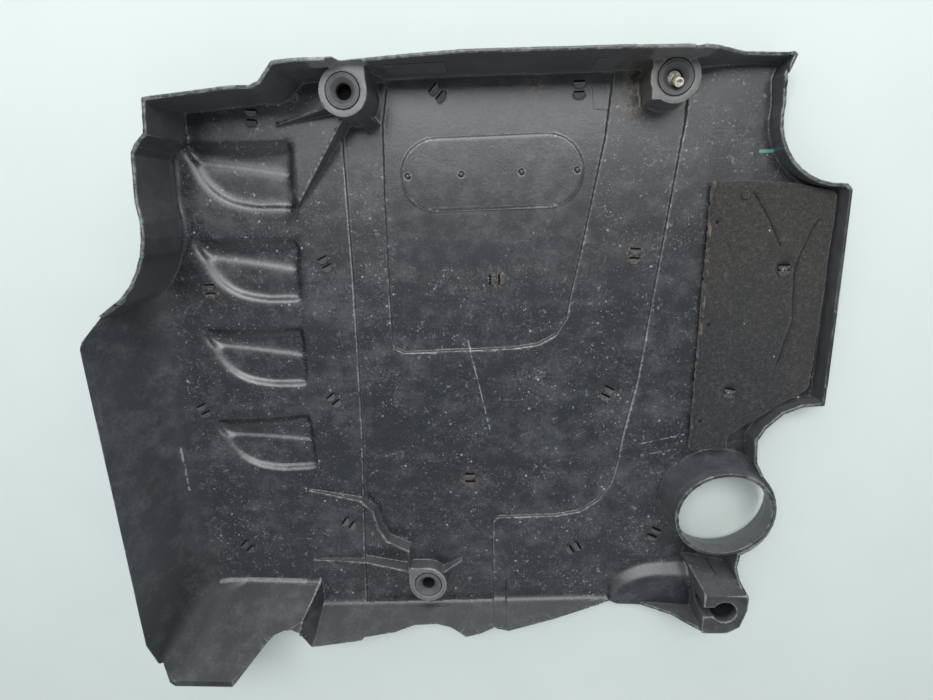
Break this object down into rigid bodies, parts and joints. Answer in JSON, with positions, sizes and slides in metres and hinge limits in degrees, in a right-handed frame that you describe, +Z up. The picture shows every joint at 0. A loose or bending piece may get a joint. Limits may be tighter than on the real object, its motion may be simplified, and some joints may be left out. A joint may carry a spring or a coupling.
{
  "type": "engine cover",
  "caption": "Moulded plastic engine cover seen from its hollow underside, with rubber push-on grommets, an oil filler collar, air louvres and a felt sound pad.",
  "frame": {"origin": "centre of the bounding box in plan, at the level of the lowest show face, which lies on the floor", "axes": "+X along the long side to the filler opening's side, +Y from the lower edge to the edge with two grommets, +Z up out of the hollow underside"},
  "size_m": [0.5516, 0.4766, 0.069],
  "materials": {
    "shell_plastic": "fine grained black moulding, dusty and scratched",
    "pad_felt": "pressed brown-black fibre pad",
    "grommet_rubber": "dusty soft rubber",
    "stud_plastic": "cream, aged"
  },
  "bodies": {
    "root": {"cover_shell": "shell_plastic", "sound_pad": "pad_felt", "grommet_upper_left": "grommet_rubber", "grommet_upper_right": "grommet_rubber", "grommet_lower": "grommet_rubber", "ball_stud": "stud_plastic"}
  },
  "joints": []
}
